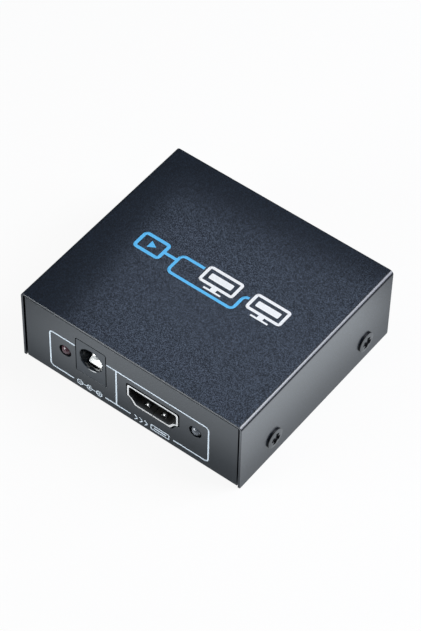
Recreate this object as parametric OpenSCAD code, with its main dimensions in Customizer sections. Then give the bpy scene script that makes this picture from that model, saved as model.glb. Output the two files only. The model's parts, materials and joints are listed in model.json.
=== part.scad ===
// Video splitter box with one input and two outputs, in a folded steel enclosure.
// Millimetres. +Z is up, the front panel faces -Y and the origin is under the middle of the base.

/* [Enclosure] */
// Width across the cover's side walls
body_w = 65; // [60:0.5:80]
// Depth between the cover's front and rear edges
body_d = 59.5; // [57:0.5:75]
// Height from the underside of the base to the top of the cover
body_h = 23; // [21.5:0.5:30]
// Thickness of the folded steel sheet
sheet = 0.6; // [0.5:0.1:1]
// Inside radius of the folds at the cover's top and at the ears
fold_r = 0.5; // [0.2:0.05:0.6]
// Inside radius of the folds between the base and the panels
base_fold_r = 0.1; // [0.05:0.05:0.5]
// Clearance between the cover and the chassis inside it
cover_gap = 0.5; // [0.2:0.05:0.6]
// Step back from the cover's edges to the faces of the panels
panel_inset = 0.2; // [0.05:0.05:0.4]
// Height of the side walls' lower edges above the table
wall_lift = 0.1; // [0.05:0.05:1]
// Radius of the side walls' lower corners
wall_corner_r = 0.4; // [0.2:0.1:2]

/* [Cover screws] */
// Thread diameter of every screw
screw_d = 2.9; // [2.4:0.1:3]
// Length of the cover screws under the head
screw_len = 4; // [3:0.5:5]
// Diameter of the pan heads
screw_head_d = 5.4; // [5:0.1:6]
// Height of the pan heads
screw_head_h = 0.7; // [0.6:0.05:1.2]
// Height of the cover screws above the table
screw_z = 6.4; // [5:0.1:7]
// Distance of the front cover screws from the cover's front edge
screw_front_in = 13; // [11:0.05:16]
// Distance of the rear cover screws from the cover's rear edge
screw_rear_in = 10; // [8:0.05:13]
// Radial play of a thread in its tapped hole
thread_play = 0.05; // [0.03:0.01:0.1]
// Radial play of a thread in a clearance hole
clearance_play = 0.25; // [0.15:0.05:0.4]
// Width of the ears that hold the cover screws
ear_w = 9; // [7:0.5:12]
// Height of an ear above its screw
ear_over = 4; // [3:0.5:6]
// Length of the drawn collar behind a tapped hole
collar_len = 1; // [0.5:0.1:1.5]

/* [Circuit board] */
// Thickness of the board
board_t = 1.6; // [1.2:0.1:2]
// Height of the board's underside above the table
board_z = 5.2; // [4.5:0.1:6]
// Space between the board and the panels at front and rear
board_end_gap = 0.6; // [0.4:0.1:1]
// Space between the board's sides and the tips of the cover screws
board_side_gap = 1; // [0.5:0.1:2]
// Distance of the mounting holes from the board's sides
mount_side_in = 4.5; // [4:0.1:6]
// Distance of the mounting holes from the board's front and rear edges
mount_end_in = 9; // [8:0.1:11]
// Diameter of the standoffs under the board
standoff_d = 5.5; // [5:0.1:6.5]
// Length of the board screws under the head
board_screw_len = 5; // [4:0.5:5.5]

/* [Video sockets] */
// Width of a socket's opening
socket_w = 14; // [13:0.1:15]
// Height of a socket's opening
socket_h = 4.55; // [4.2:0.05:5]
// Length of a socket from its mouth to its back
socket_len = 11.5; // [10.5:0.1:12.5]
// Thickness of a socket's steel shell
socket_wall = 0.35; // [0.25:0.05:0.45]
// Length of the flared lip at the mouth
lip_len = 0.9; // [0.3:0.05:1]
// Flare of the lip at the sides
lip_side = 0.15; // [0.05:0.05:0.4]
// Flare of the lip at top and bottom
lip_rise = 0.5; // [0.2:0.05:0.6]
// Width of the lip's front edge
lip_edge = 0.5; // [0.35:0.05:0.6]
// How far a mouth stands out of its panel
socket_proud = 0.1; // [0:0.05:0.3]
// Clearance between a lip and its cut-out
cutout_gap = 0.35; // [0.2:0.05:0.5]
// Height of a socket's centre above the board
socket_rise = 3.2; // [3.1:0.05:3.6]
// Width of the contact tongue
tongue_w = 10.6; // [10.2:0.1:11]
// Thickness of the contact tongue
tongue_t = 1.1; // [0.8:0.1:1.4]
// Distance between neighbouring contacts
contact_pitch = 0.5; // [0.45:0.01:0.52]

/* [Power jack] */
// Width of the jack's housing
jack_w = 8.8; // [8.6:0.1:10]
// Height of the jack's housing
jack_h = 11.5; // [11:0.1:12.5]
// Length of the jack's housing
jack_len = 14; // [13:0.1:15]
// Diameter of the hole for the plug
jack_bore_d = 6.8; // [6:0.1:7]
// Diameter of the centre pin
jack_pin_d = 2; // [1.6:0.1:2.5]
// Height of the hole's axis above the board
jack_rise = 6.3; // [6.2:0.1:7]
// Clearance between the jack and its cut-out
jack_gap = 0.25; // [0.1:0.05:0.4]
// Width of the spring contact
spring_w = 3.7; // [3:0.1:4.4]
// Thickness of the spring contact
spring_t = 0.25; // [0.15:0.05:0.4]

/* [Lights] */
// Diameter of a light's lens
led_d = 3; // [2.8:0.1:3.4]
// Length of a light from its tip to the back of its flange
led_len = 5.3; // [4.5:0.1:6]
// Height of the lights above the board
led_rise = 4.15; // [4:0.05:5.5]
// How far the tip of a lens stands out of its panel
led_proud = 0.4; // [0.3:0.05:0.8]
// Clearance between a lens and its hole
led_gap = 0.3; // [0.15:0.05:0.5]

/* [Panel layout] */
// Place of the input socket across the front panel
input_x = 6.75; // [5.5:0.05:8]
// Place of the power jack across the front panel
jack_x = -11.7; // [-12:0.1:-10]
// Place of the power light across the front panel
power_led_x = -19.5; // [-21:0.05:-19]
// Place of the input light across the front panel
input_led_x = 19.25; // [18.5:0.05:21]
// Distance of each output socket from the middle of the rear panel
output_x = 11; // [9.5:0.1:12]
// Distance of each output light from the middle of the rear panel
output_led_x = 22; // [21.5:0.1:23]

/* [Hidden] */
$fn = 48;
// Length by which a cut runs past the face that it opens
past = 1;

// Folded enclosure
chassis_w = body_w - 2 * (sheet + cover_gap);
chassis_d = body_d - 2 * panel_inset;
panel_top = body_h - sheet - cover_gap;
face_y = chassis_d / 2;
fold_out = fold_r + sheet;
fold_relief = 0.5;
ear_top = screw_z + ear_over;
collar_wall = 0.8;
cover_screw_ys = [screw_front_in - body_d / 2, body_d / 2 - screw_rear_in];
tapped_d = screw_d + 2 * thread_play;
clear_d = screw_d + 2 * clearance_play;
// Proportions of a low pan head: its upright rim, and its cross recess, which is turned out of line
head_rim_share = 0.65;
cross_l_share = 0.59;
cross_w_share = 0.24;
cross_depth_share = 0.85;
cross_turn = 68;

// Circuit board
board_w = body_w - 2 * (screw_len + board_side_gap);
board_d = chassis_d - 2 * (sheet + board_end_gap);
board_top = board_z + board_t;
board_corner_r = 1;
hole_play = 0.12;
tail_len = 1.2;
mount_x = board_w / 2 - mount_side_in;
mount_y = board_d / 2 - mount_end_in;
spigot_step = 0.6;
spigot_d = standoff_d - 2 * spigot_step;
spigot_lift = 0.05;
spigot_play = 0.04;

// Video sockets, each in its own frame: mouth at y = 0, opening centred on x = z = 0
socket_z = board_top + socket_rise;
half_w = socket_w / 2;
half_h = socket_h / 2;
shoulder_drop = 0.55;
shoulder_in = 1;
shoulder_fall = 0.4;
floor_in = 2.2;
outline_r = 0.6;
outline_steps = 5;
insulator_play = 0.08;
block_len = 3;
tongue_setback = 1.6;
tongue_lift = 0.15;
flap_low = -0.2;
contact_w = 0.34;
contact_t = 0.12;
contact_len = 5;
contact_setback = 0.5;
upper_contacts = 10;
lower_contacts = 9;
contact_tail_w = 0.24;
contact_tail_t = 0.15;
contact_foot = 1;
window_len = 2;
leg_ys = [2.9, 8.86];
leg_w = 1;
leg_shoulder_w = 1.9;
finger_x = 2.45;
finger_y = 2.05;
finger_r = 0.75;
finger_rise = 0.5;
finger_w = 1.7;
finger_len = 5;
finger_slot = 0.2;
seam_w = 0.15;

// Power jack, in its own frame: face at y = 0, hole's axis along y at x = z = 0
jack_z = board_top + jack_rise;
jack_flange_t = 3.2;
jack_corner_r = 0.5;
jack_floor_gap = 0.1;
jack_back_t = 2.6;
jack_mouth = 0.2;
bore_r = jack_bore_d / 2;
bore_len = jack_len - jack_back_t;
pin_setback = 1.4;
pin_tip = 0.4;
pin_shoulder_step = 0.45;
pin_shoulder_d = jack_pin_d + 2 * pin_shoulder_step;
seat_play = 0.05;
spring_play = 0.3;
spring_setback = 1.5;
spring_above_wall = 0.2;
spring_low = spring_above_wall - bore_r;
spring_lead = 40;
spring_crest_in = 2.9;
spring_pin_gap = 0.6;
spring_crest = -jack_pin_d / 2 - spring_pin_gap;
spring_bend_r = 0.8;
spring_root_in = 0.5;
spring_root_y = bore_len - spring_root_in;
spring_knuckle_r = 0.3;
spring_steps = 8;
spring_travel = 1.2;
terminal_t = 0.4;
terminal_w = 2;
terminal_play = 0.06;
spring_end_gap = 0.05;
sleeve_terminal_y = spring_root_y + spring_knuckle_r + spring_end_gap;
switch_terminal_y = 8;

// Lights, each in its own frame: tip at y = 0, axis along y at x = z = 0
led_z = board_top + led_rise;
led_flange_step = 0.4;
led_flange_d = led_d + 2 * led_flange_step;
led_flange_t = 1;
led_flat_in = 0.3;
lead_pitch = 2.54;
lead_t = 0.5;
lead_back = 1.4;

// Parts on the board, by their places from its middle
chip_lift = 0.1;
pin_t = 0.15;
pin_reach = 1;
splitter_at = [2, 2];
splitter_size = [10, 10, 1.4];
splitter_pins = 16;
splitter_pitch = 0.5;
splitter_pin_w = 0.22;
first_pin_mark_d = 1;
first_pin_mark_in = 1.2;
first_pin_mark_depth = 0.1;
memory_ats = [[-11, 9.5], [-11, 1]];
memory_size = [3.9, 4.9, 1.5];
memory_pins = 4;
memory_pitch = 1.27;
memory_pin_w = 0.42;
regulator_at = [-18.5, -8];
regulator_size = [6.5, 3.5, 1.6];
regulator_pitch = 2.3;
regulator_lead_w = 0.7;
regulator_tab_w = 3;
regulator_reach = 1.7;
crystal_at = [14.5, 3];
crystal_size = [4.65, 11.3, 3.5];
electrolytic_ats = [[-20, 9.5], [-10, -8.5]];
electrolytic_d = 5;
electrolytic_h = 5.4;
electrolytic_base_w = 5.3;
electrolytic_base_h = 0.6;
inductor_at = [-20, 2];
inductor_size = [5, 5, 3];
inductor_round_d = 6.5;
passive_size = [0.8, 1.6, 0.7];
ring_parts = 3;
ring_pitch = 2.6;
ring_gap = 1.4;
ring_in = splitter_size.y / 2 + pin_reach + ring_gap;
row_parts = 5;
row_pitch = 2;
row_gap = 1.6;
row_y = face_y + socket_proud - socket_len - contact_foot - row_gap;

// Place of piece i in a centred row of n
function in_row(i, n, pitch) = (i - (n - 1) / 2) * pitch;

// A closed outline with each corner turned into an arc of radius r that cuts it at a tangent
function unit(v) = v / norm(v);
function arc_corner(before, corner, after, r) =
    let (
        u = unit(before - corner),
        v = unit(after - corner),
        half = acos(u * v) / 2,
        centre = corner + unit(u + v) * r / sin(half),
        from = corner + u * r / tan(half) - centre,
        turn = (180 - 2 * half) * sign(cross(from, corner - centre))
    )
    [for (i = [0 : outline_steps])
        let (a = turn * i / outline_steps)
        centre + [from.x * cos(a) - from.y * sin(a), from.x * sin(a) + from.y * cos(a)]];
function rounded(points, radii) =
    let (n = len(points))
    [for (i = [0 : n - 1])
        each arc_corner(points[(i + n - 1) % n], points[i], points[(i + 1) % n], radii[i])];

// Outline of a video socket, grown by gx at the sides and gz at top and bottom
function socket_outline(gx, gz) =
    let (
        a = half_w + gx,
        b = half_h + gz,
        side = -shoulder_drop - gz / 2,
        right = [[a, b], [a, side], [a - shoulder_in, side - shoulder_fall], [a - floor_in, -b]],
        left = [for (i = [3 : -1 : 0]) [-right[i].x, right[i].y]],
        radii = [outline_r, outline_r / 2, outline_r / 2, outline_r]
    )
    rounded(concat(right, left), concat(radii, [for (i = [3 : -1 : 0]) radii[i]]));

// Rectangle that stands on y = 0 with round lower corners
module round_foot(w, h, r) {
    difference() {
        translate([-w / 2, 0]) square([w, h]);
        for (side = [-1, 1])
            translate([side * (w / 2 - r), r])
                difference() {
                    translate([side > 0 ? 0 : -r - past, -r - past]) square([r + past, r + past]);
                    circle(r);
                }
    }
}

// Section of a sheet folded up at both sides
module folded_section(w, h, r = fold_r) {
    difference() {
        round_foot(w, h, r + sheet);
        translate([0, sheet]) round_foot(w - 2 * sheet, h, r);
    }
}

// Moves a part from its own frame to a place on the front or rear panel
module on_panel(x, z, proud = 0, rear = false) {
    rotate([0, 0, rear ? 180 : 0])
        translate([rear ? -x : x, -face_y - proud, z])
            children();
}

module on_outputs(z, proud, x) {
    for (side = [-1, 1]) on_panel(side * x, z, proud, true) children();
}

// Solid that runs from y = y0 to y = y1 behind a panel, with its section in x and z
module inward(y0, y1) {
    translate([0, y1, 0]) rotate([90, 0, 0]) linear_extrude(y1 - y0) children();
}

module at_cover_screws() {
    for (side = [-1, 1])
        for (y = cover_screw_ys)
            translate([side * body_w / 2, y, screw_z]) rotate([0, side * 90, 0]) children();
}

module at_mounts(z) {
    for (x = [-mount_x, mount_x])
        for (y = [-mount_y, mount_y])
            translate([x, y, z]) children();
}

// Pan-head screw with a cross recess: the head stands on z = 0 and the thread runs down
module pan_screw(length) {
    dome = screw_head_h * (1 - head_rim_share);
    dome_r = (screw_head_d * screw_head_d / 4 + dome * dome) / (2 * dome);
    cross_l = cross_l_share * screw_head_d;
    cross_w = cross_w_share * screw_head_d;
    cross_depth = cross_depth_share * screw_head_h;
    difference() {
        intersection() {
            cylinder(d = screw_head_d, h = screw_head_h);
            translate([0, 0, screw_head_h - dome_r]) sphere(dome_r, $fn = 96);
        }
        for (turn = [0, 90])
            rotate([0, 0, turn + cross_turn])
                translate([-cross_l / 2, -cross_w / 2, screw_head_h - cross_depth])
                    cube([cross_l, cross_w, cross_depth + past]);
    }
    translate([0, 0, -length]) cylinder(d = screw_d, h = length);
}

// Base, front and rear panel folded from one sheet, with four ears for the cover screws
module base_chassis() {
    color("dimgray")
        difference() {
            union() {
                difference() {
                    rotate([90, 0, 90]) linear_extrude(chassis_w, center = true)
                        folded_section(chassis_d, panel_top, base_fold_r);
                    ear_reliefs();
                }
                ears();
            }
            at_cover_screws()
                translate([0, 0, -body_w / 4]) cylinder(d = tapped_d, h = body_w / 4);
            at_mounts(-past) cylinder(d = spigot_d + 2 * spigot_play, h = sheet + 2 * past);
            on_panel(input_x, socket_z) socket_cutout();
            on_outputs(socket_z, 0, output_x) socket_cutout();
            on_panel(jack_x, jack_z) jack_cutout();
            for (x = [power_led_x, input_led_x]) on_panel(x, led_z) led_cutout();
            on_outputs(led_z, 0, output_led_x) led_cutout();
        }
}

module ear_reliefs() {
    for (side = [-1, 1])
        for (y = cover_screw_ys)
            translate([side * chassis_w / 2, y, 0])
                cube([2 * fold_out, ear_w + 2 * fold_relief, 4 * sheet], center = true);
}

module ears() {
    for (y = cover_screw_ys)
        translate([0, y, 0]) rotate([90, 0, 0]) linear_extrude(ear_w, center = true)
            folded_section(chassis_w, ear_top);
    at_cover_screws()
        translate([0, 0, -cover_gap - 2 * sheet - collar_len])
            cylinder(d = tapped_d + 2 * collar_wall, h = collar_len);
}

module socket_cutout() {
    inward(-past, sheet + past)
        polygon(socket_outline(socket_wall + lip_side + cutout_gap, socket_wall + lip_rise + cutout_gap));
}

module jack_cutout() {
    low = -jack_rise - jack_floor_gap;
    inward(-past, sheet + past)
        translate([0, jack_h - jack_rise + jack_gap]) rotate(180)
            round_foot(jack_w + 2 * jack_gap, jack_h - jack_rise + jack_gap - low, jack_corner_r + jack_gap);
}

module led_cutout() {
    inward(-past, sheet + past) circle(d = led_d + 2 * led_gap);
}

// Top and both side walls folded from one sheet
module top_cover() {
    color("#23262e")
        difference() {
            intersection() {
                translate([0, 0, body_h]) mirror([0, 0, 1])
                    rotate([90, 0, 0]) linear_extrude(body_d, center = true)
                        folded_section(body_w, body_h - wall_lift);
                translate([0, 0, wall_lift]) rotate([90, 0, 90]) linear_extrude(2 * body_w, center = true)
                    round_foot(body_d, body_h, wall_corner_r);
            }
            at_cover_screws()
                translate([0, 0, -sheet - past]) cylinder(d = clear_d, h = sheet + 2 * past);
        }
}

module cover_screws() {
    color("#17181a") at_cover_screws() pan_screw(screw_len);
}

// Turned standoffs, clinched into the base
module board_standoffs() {
    color("#c9b26a")
        at_mounts(0)
            difference() {
                union() {
                    translate([0, 0, sheet]) cylinder(d = standoff_d, h = board_z - sheet);
                    translate([0, 0, spigot_lift]) cylinder(d = spigot_d, h = sheet - spigot_lift);
                }
                translate([0, 0, sheet]) cylinder(d = tapped_d, h = board_z);
            }
}

module board_screws() {
    color("silver") at_mounts(board_top) pan_screw(board_screw_len);
}

// Glass-fibre board with holes for everything that is soldered through it
module circuit_board() {
    color("#12512d")
        difference() {
            translate([0, 0, board_z]) linear_extrude(board_t)
                intersection() {
                    translate([0, -board_d / 2]) round_foot(board_w, board_d, board_corner_r);
                    rotate(180) translate([0, -board_d / 2]) round_foot(board_w, board_d, board_corner_r);
                }
            at_mounts(board_z - past) cylinder(d = clear_d, h = board_t + 2 * past);
            on_panel(input_x, board_top, socket_proud) socket_leg_slots();
            on_outputs(board_top, socket_proud, output_x) socket_leg_slots();
            on_panel(jack_x, board_top) jack_terminal_slots();
            for (x = [power_led_x, input_led_x]) on_panel(x, board_top, led_proud) lead_holes();
            on_outputs(board_top, led_proud, output_led_x) lead_holes();
        }
}

// Slot through the board, centred on a tail of the given size
module board_slot(size) {
    grown = size + [2 * hole_play, 2 * hole_play];
    translate([-grown.x / 2, -grown.y / 2, -board_t - past]) cube([grown.x, grown.y, board_t + 2 * past]);
}

module at_socket_legs() {
    for (side = [-1, 1])
        for (y = leg_ys)
            translate([side * (half_w + socket_wall / 2), y, 0]) children();
}

module socket_leg_slots() {
    at_socket_legs() board_slot([socket_wall, leg_w]);
}

// Rolled steel shell with a flared mouth, a seam below, two pressing fingers and four solder legs
module socket_shell() {
    flare_out = [1 + lip_side / (half_w + socket_wall), 1 + lip_rise / (half_h + socket_wall)];
    thicker = lip_edge - socket_wall;
    flare_in = [1 + (lip_side - thicker) / half_w, 1 + (lip_rise - thicker) / half_h];
    difference() {
        translate([0, lip_len, 0]) rotate([90, 0, 0])
            linear_extrude(lip_len, scale = flare_out, slices = 1)
                polygon(socket_outline(socket_wall, socket_wall));
        translate([0, lip_len, 0]) rotate([90, 0, 0])
            linear_extrude(lip_len, scale = flare_in, slices = 1)
                polygon(socket_outline(0, 0));
        socket_seam(-past, lip_len + past);
    }
    difference() {
        inward(lip_len, socket_len)
            difference() {
                polygon(socket_outline(socket_wall, socket_wall));
                polygon(socket_outline(0, 0));
            }
        for (side = [-1, 1]) translate([side * finger_x, 0, 0]) finger_slots();
        socket_seam(lip_len - past, socket_len - window_len + past);
        translate([-tongue_w / 2, socket_len - window_len, -half_h - 2 * socket_wall])
            cube([tongue_w, window_len + past, 3 * socket_wall]);
    }
    inward(socket_len - socket_wall, socket_len)
        intersection() {
            polygon(socket_outline(0, 0));
            translate([-half_w, flap_low]) square([socket_w, socket_h]);
        }
    for (side = [-1, 1]) translate([side * finger_x, finger_y, 0]) finger_bump();
    at_socket_legs() socket_leg();
}

// Butt seam of the rolled shell, through its floor between two depths
module socket_seam(y0, y1) {
    low = half_h + socket_wall + lip_rise + past;
    translate([-seam_w / 2, y0, -low]) cube([seam_w, y1 - y0, low]);
}

// Cut on three sides of a finger, which stays joined at its rear end
module finger_slots() {
    deep = 3 * socket_wall;
    front = lip_len + finger_slot;
    for (side = [-1, 1])
        translate([side * finger_w / 2 - finger_slot / 2, front, -half_h - 2 * socket_wall])
            cube([finger_slot, finger_len, deep]);
    translate([-finger_w / 2, front, -half_h - 2 * socket_wall]) cube([finger_w, finger_slot, deep]);
}

module finger_bump() {
    intersection() {
        translate([0, 0, -half_h + finger_rise - finger_r]) sphere(finger_r);
        translate([-finger_r, -finger_r, -half_h - socket_wall / 2])
            cube([2 * finger_r, 2 * finger_r, 2 * finger_r]);
    }
}

module socket_leg() {
    top = -shoulder_drop;
    translate([-socket_wall / 2, -leg_shoulder_w / 2, -socket_rise])
        cube([socket_wall, leg_shoulder_w, top + socket_rise]);
    translate([-socket_wall / 2, -leg_w / 2, -socket_rise - board_t - tail_len])
        cube([socket_wall, leg_w, board_t + tail_len]);
}

// Moulded block at the back of a socket, with the tongue that carries its contacts
module socket_insulator() {
    block_back = socket_len - socket_wall - insulator_play;
    inward(block_back - block_len, block_back)
        polygon(socket_outline(-insulator_play, -insulator_play));
    translate([-tongue_w / 2, tongue_setback, tongue_lift - tongue_t / 2])
        cube([tongue_w, block_back - block_len - tongue_setback, tongue_t]);
}

// Flat contacts on both faces of the tongue, and the tails that are soldered to the board
module socket_contacts() {
    tails = upper_contacts + lower_contacts;
    contact_strips(upper_contacts, tongue_lift + tongue_t / 2);
    contact_strips(lower_contacts, tongue_lift - tongue_t / 2 - contact_t);
    for (i = [0 : tails - 1])
        translate([in_row(i, tails, contact_pitch) - contact_tail_w / 2, socket_len - window_len / 2, 0])
            contact_tail();
}

module contact_strips(count, z) {
    for (i = [0 : count - 1])
        translate([in_row(i, count, 2 * contact_pitch) - contact_w / 2, tongue_setback + contact_setback, z])
            cube([contact_w, contact_len, contact_t]);
}

module contact_tail() {
    rise = socket_rise - half_h + insulator_play;
    translate([0, 0, -socket_rise]) cube([contact_tail_w, contact_tail_t, rise]);
    translate([0, 0, -socket_rise]) cube([contact_tail_w, window_len / 2 + contact_foot, contact_tail_t]);
}

module input_socket_shell() {
    color("gainsboro") on_panel(input_x, socket_z, socket_proud) socket_shell();
}

module input_socket_insulator() {
    color("#1a1a1a") on_panel(input_x, socket_z, socket_proud) socket_insulator();
}

module input_socket_contacts() {
    color("gold") on_panel(input_x, socket_z, socket_proud) socket_contacts();
}

module output_socket_shell(side) {
    color("gainsboro") on_panel(side * output_x, socket_z, socket_proud, true) socket_shell();
}

module output_socket_insulator(side) {
    color("#1a1a1a") on_panel(side * output_x, socket_z, socket_proud, true) socket_insulator();
}

module output_socket_contacts(side) {
    color("gold") on_panel(side * output_x, socket_z, socket_proud, true) socket_contacts();
}

// Moulded jack: a square flange in the panel, and a barrel with a slot for the spring contact
module power_jack_housing() {
    slot_w = spring_w + 2 * spring_play;
    slot_low = spring_low - spring_t - spring_travel;
    color("#2c2d30")
        on_panel(jack_x, jack_z)
            difference() {
                union() {
                    inward(0, jack_flange_t)
                        translate([0, jack_h - jack_rise]) rotate(180)
                            round_foot(jack_w, jack_h, jack_corner_r);
                    inward(jack_flange_t, jack_len)
                        union() {
                            translate([-jack_w / 2, -jack_rise]) square([jack_w, jack_rise]);
                            circle(d = jack_w);
                        }
                }
                inward(-past, bore_len) circle(d = jack_bore_d);
                rotate([-90, 0, 0])
                    cylinder(r1 = bore_r + jack_mouth, r2 = bore_r, h = jack_mouth);
                translate([-slot_w / 2, spring_setback - spring_play, slot_low])
                    cube([slot_w, sleeve_terminal_y + terminal_t - spring_setback + spring_play, -slot_low]);
                inward(bore_len - past, jack_len + past) circle(d = pin_shoulder_d + 2 * seat_play);
                jack_terminal_pockets();
            }
}

// Pockets in the jack's floor and side for the two terminals that pass through it
module jack_terminal_pockets() {
    translate([-terminal_w / 2 - terminal_play, sleeve_terminal_y - terminal_play, -jack_rise - past])
        cube([terminal_w + 2 * terminal_play, terminal_t + 2 * terminal_play, jack_rise + past + spring_low]);
    translate([-jack_w / 2 - past, switch_terminal_y - terminal_w / 2 - terminal_play, -jack_rise - past])
        cube([past + terminal_t + terminal_play, terminal_w + 2 * terminal_play, jack_rise + past]);
}

module power_jack_pin() {
    color("gainsboro")
        on_panel(jack_x, jack_z)
            rotate([-90, 0, 0]) {
                translate([0, 0, pin_setback])
                    cylinder(d1 = jack_pin_d - 2 * pin_tip, d2 = jack_pin_d, h = pin_tip);
                translate([0, 0, pin_setback + pin_tip])
                    cylinder(d = jack_pin_d, h = bore_len - pin_setback - pin_tip);
                translate([0, 0, bore_len]) cylinder(d = pin_shoulder_d, h = jack_back_t);
            }
}

// Unit vector along a slope in the spring contact's side view
function slope(angle) = [cos(angle), sin(angle)];

// Bent leaf under the hole: its front end leads the plug in, and it bends down about its rear end
module power_jack_spring() {
    crest = [spring_crest_in, spring_crest];
    fall = atan((spring_crest - spring_low) / (spring_root_y - spring_crest_in));
    back_off = spring_bend_r * tan((spring_lead + fall) / 2);
    centre = crest - back_off * slope(spring_lead) + spring_bend_r * slope(spring_lead - 90);
    tip = [spring_setback, spring_crest - (spring_crest_in - spring_setback) * tan(spring_lead)];
    bend = [for (i = [0 : spring_steps])
        centre + spring_bend_r * slope(90 + spring_lead - (spring_lead + fall) * i / spring_steps)];
    top = concat([tip], bend, [[spring_root_y, spring_low]]);
    under = [for (i = [len(top) - 1 : -1 : 0]) top[i] - [0, spring_t]];
    color("gainsboro")
        on_panel(jack_x, jack_z) {
            rotate([90, 0, 90]) linear_extrude(spring_w, center = true) polygon(concat(top, under));
            translate([0, spring_root_y, spring_low - spring_t / 2]) rotate([0, 90, 0])
                cylinder(r = spring_knuckle_r, h = spring_w, center = true);
        }
}

// Solder terminals of the pin, the spring contact and the switch
module power_jack_terminals() {
    below = -jack_rise - board_t - tail_len;
    color("silver")
        on_panel(jack_x, jack_z) {
            translate([-terminal_w / 2, jack_len, below])
                cube([terminal_w, terminal_t, pin_shoulder_d / 2 - below]);
            translate([-terminal_w / 2, sleeve_terminal_y, below])
                cube([terminal_w, terminal_t, spring_low - below]);
            translate([-jack_w / 2, switch_terminal_y - terminal_w / 2, below])
                cube([terminal_t, terminal_w, -terminal_play - below]);
        }
}

module jack_terminal_slots() {
    for (y = [jack_len, sleeve_terminal_y])
        translate([0, y + terminal_t / 2, 0]) board_slot([terminal_w, terminal_t]);
    translate([-jack_w / 2 + terminal_t / 2, switch_terminal_y, 0]) board_slot([terminal_t, terminal_w]);
}

// Moulded lens with a dome, a flange and a flat on the flange
module led_lens() {
    rotate([-90, 0, 0])
        difference() {
            union() {
                translate([0, 0, led_d / 2]) sphere(led_d / 2);
                translate([0, 0, led_d / 2]) cylinder(d = led_d, h = led_len - led_d / 2);
                translate([0, 0, led_len - led_flange_t]) cylinder(d = led_flange_d, h = led_flange_t);
            }
            translate([led_flange_d / 2 - led_flat_in, -led_flange_d / 2, led_len - led_flange_t])
                cube([led_flat_in + past, led_flange_d, led_flange_t + past]);
        }
}

// Two square wires that run back from the flange and turn down through the board
module led_leads() {
    foot = -led_rise - board_t - tail_len;
    for (side = [-1, 1])
        translate([side * lead_pitch / 2 - lead_t / 2, led_len, 0]) {
            translate([0, 0, -lead_t / 2]) cube([lead_t, lead_back + lead_t, lead_t]);
            translate([0, lead_back, foot]) cube([lead_t, lead_t, -foot]);
        }
}

module lead_holes() {
    for (side = [-1, 1])
        translate([side * lead_pitch / 2, led_len + lead_back + lead_t / 2, 0]) board_slot([lead_t, lead_t]);
}

module front_led_lens(x, tint) {
    color(tint) on_panel(x, led_z, led_proud) led_lens();
}

module front_led_leads(x) {
    color("silver") on_panel(x, led_z, led_proud) led_leads();
}

module output_led_lens(side) {
    color("#9aa0a6") on_panel(side * output_led_x, led_z, led_proud, true) led_lens();
}

module output_led_leads(side) {
    color("silver") on_panel(side * output_led_x, led_z, led_proud, true) led_leads();
}

// Box that stands on the board, centred on a place
module on_board(at, size) {
    translate([at.x - size.x / 2, at.y - size.y / 2, board_top]) cube(size);
}

module place(at) {
    translate([at.x, at.y, board_top]) children();
}

// Pin that leaves a chip's side along +x and turns down to a foot on the board
module gull_pin(w, high, reach) {
    knee = reach / 2 - pin_t;
    translate([0, -w / 2, high - pin_t]) cube([reach / 2, w, pin_t]);
    translate([knee, -w / 2, 0]) cube([pin_t, w, high]);
    translate([knee, -w / 2, 0]) cube([reach - knee, w, pin_t]);
}

module splitter_chip() {
    mark = [first_pin_mark_in - splitter_size.x / 2, first_pin_mark_in - splitter_size.y / 2];
    color("#202020")
        place(splitter_at)
            difference() {
                translate([-splitter_size.x / 2, -splitter_size.y / 2, chip_lift]) cube(splitter_size);
                translate([mark.x, mark.y, chip_lift + splitter_size.z - first_pin_mark_depth])
                    cylinder(d = first_pin_mark_d, h = past);
            }
}

module splitter_chip_pins() {
    color("silver")
        place(splitter_at)
            for (side = [0 : 90 : 270])
                rotate([0, 0, side])
                    for (i = [0 : splitter_pins - 1])
                        translate([splitter_size.x / 2, in_row(i, splitter_pins, splitter_pitch), 0])
                            gull_pin(splitter_pin_w, chip_lift + splitter_size.z / 2, pin_reach);
}

module memory_chips() {
    color("#202020")
        for (at = memory_ats)
            place(at)
                translate([-memory_size.x / 2, -memory_size.y / 2, chip_lift]) cube(memory_size);
}

module memory_chip_pins() {
    color("silver")
        for (at = memory_ats)
            place(at)
                for (side = [0, 180])
                    rotate([0, 0, side])
                        for (i = [0 : memory_pins - 1])
                            translate([memory_size.x / 2, in_row(i, memory_pins, memory_pitch), 0])
                                gull_pin(memory_pin_w, chip_lift + memory_size.z / 2, pin_reach);
}

module regulator() {
    color("#202020")
        place(regulator_at)
            translate([-regulator_size.x / 2, -regulator_size.y / 2, chip_lift]) cube(regulator_size);
}

module regulator_leads() {
    high = chip_lift + regulator_size.z / 2;
    color("silver")
        place(regulator_at) {
            for (i = [-1 : 1])
                translate([i * regulator_pitch, -regulator_size.y / 2, 0]) rotate([0, 0, -90])
                    gull_pin(regulator_lead_w, high, regulator_reach);
            translate([0, regulator_size.y / 2, 0]) rotate([0, 0, 90])
                gull_pin(regulator_tab_w, high, regulator_reach);
        }
}

module crystal() {
    straight = crystal_size.y - crystal_size.x;
    color("silver")
        place(crystal_at) {
            translate([-crystal_size.x / 2, -straight / 2, 0])
                cube([crystal_size.x, straight, crystal_size.z]);
            for (side = [-1, 1])
                translate([0, side * straight / 2, 0]) cylinder(d = crystal_size.x, h = crystal_size.z);
        }
}

module electrolytic_capacitors() {
    color("lightgray")
        for (at = electrolytic_ats)
            place(at) {
                translate([-electrolytic_base_w / 2, -electrolytic_base_w / 2, 0])
                    cube([electrolytic_base_w, electrolytic_base_w, electrolytic_base_h]);
                translate([0, 0, electrolytic_base_h])
                    cylinder(d = electrolytic_d, h = electrolytic_h - electrolytic_base_h);
            }
}

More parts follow.
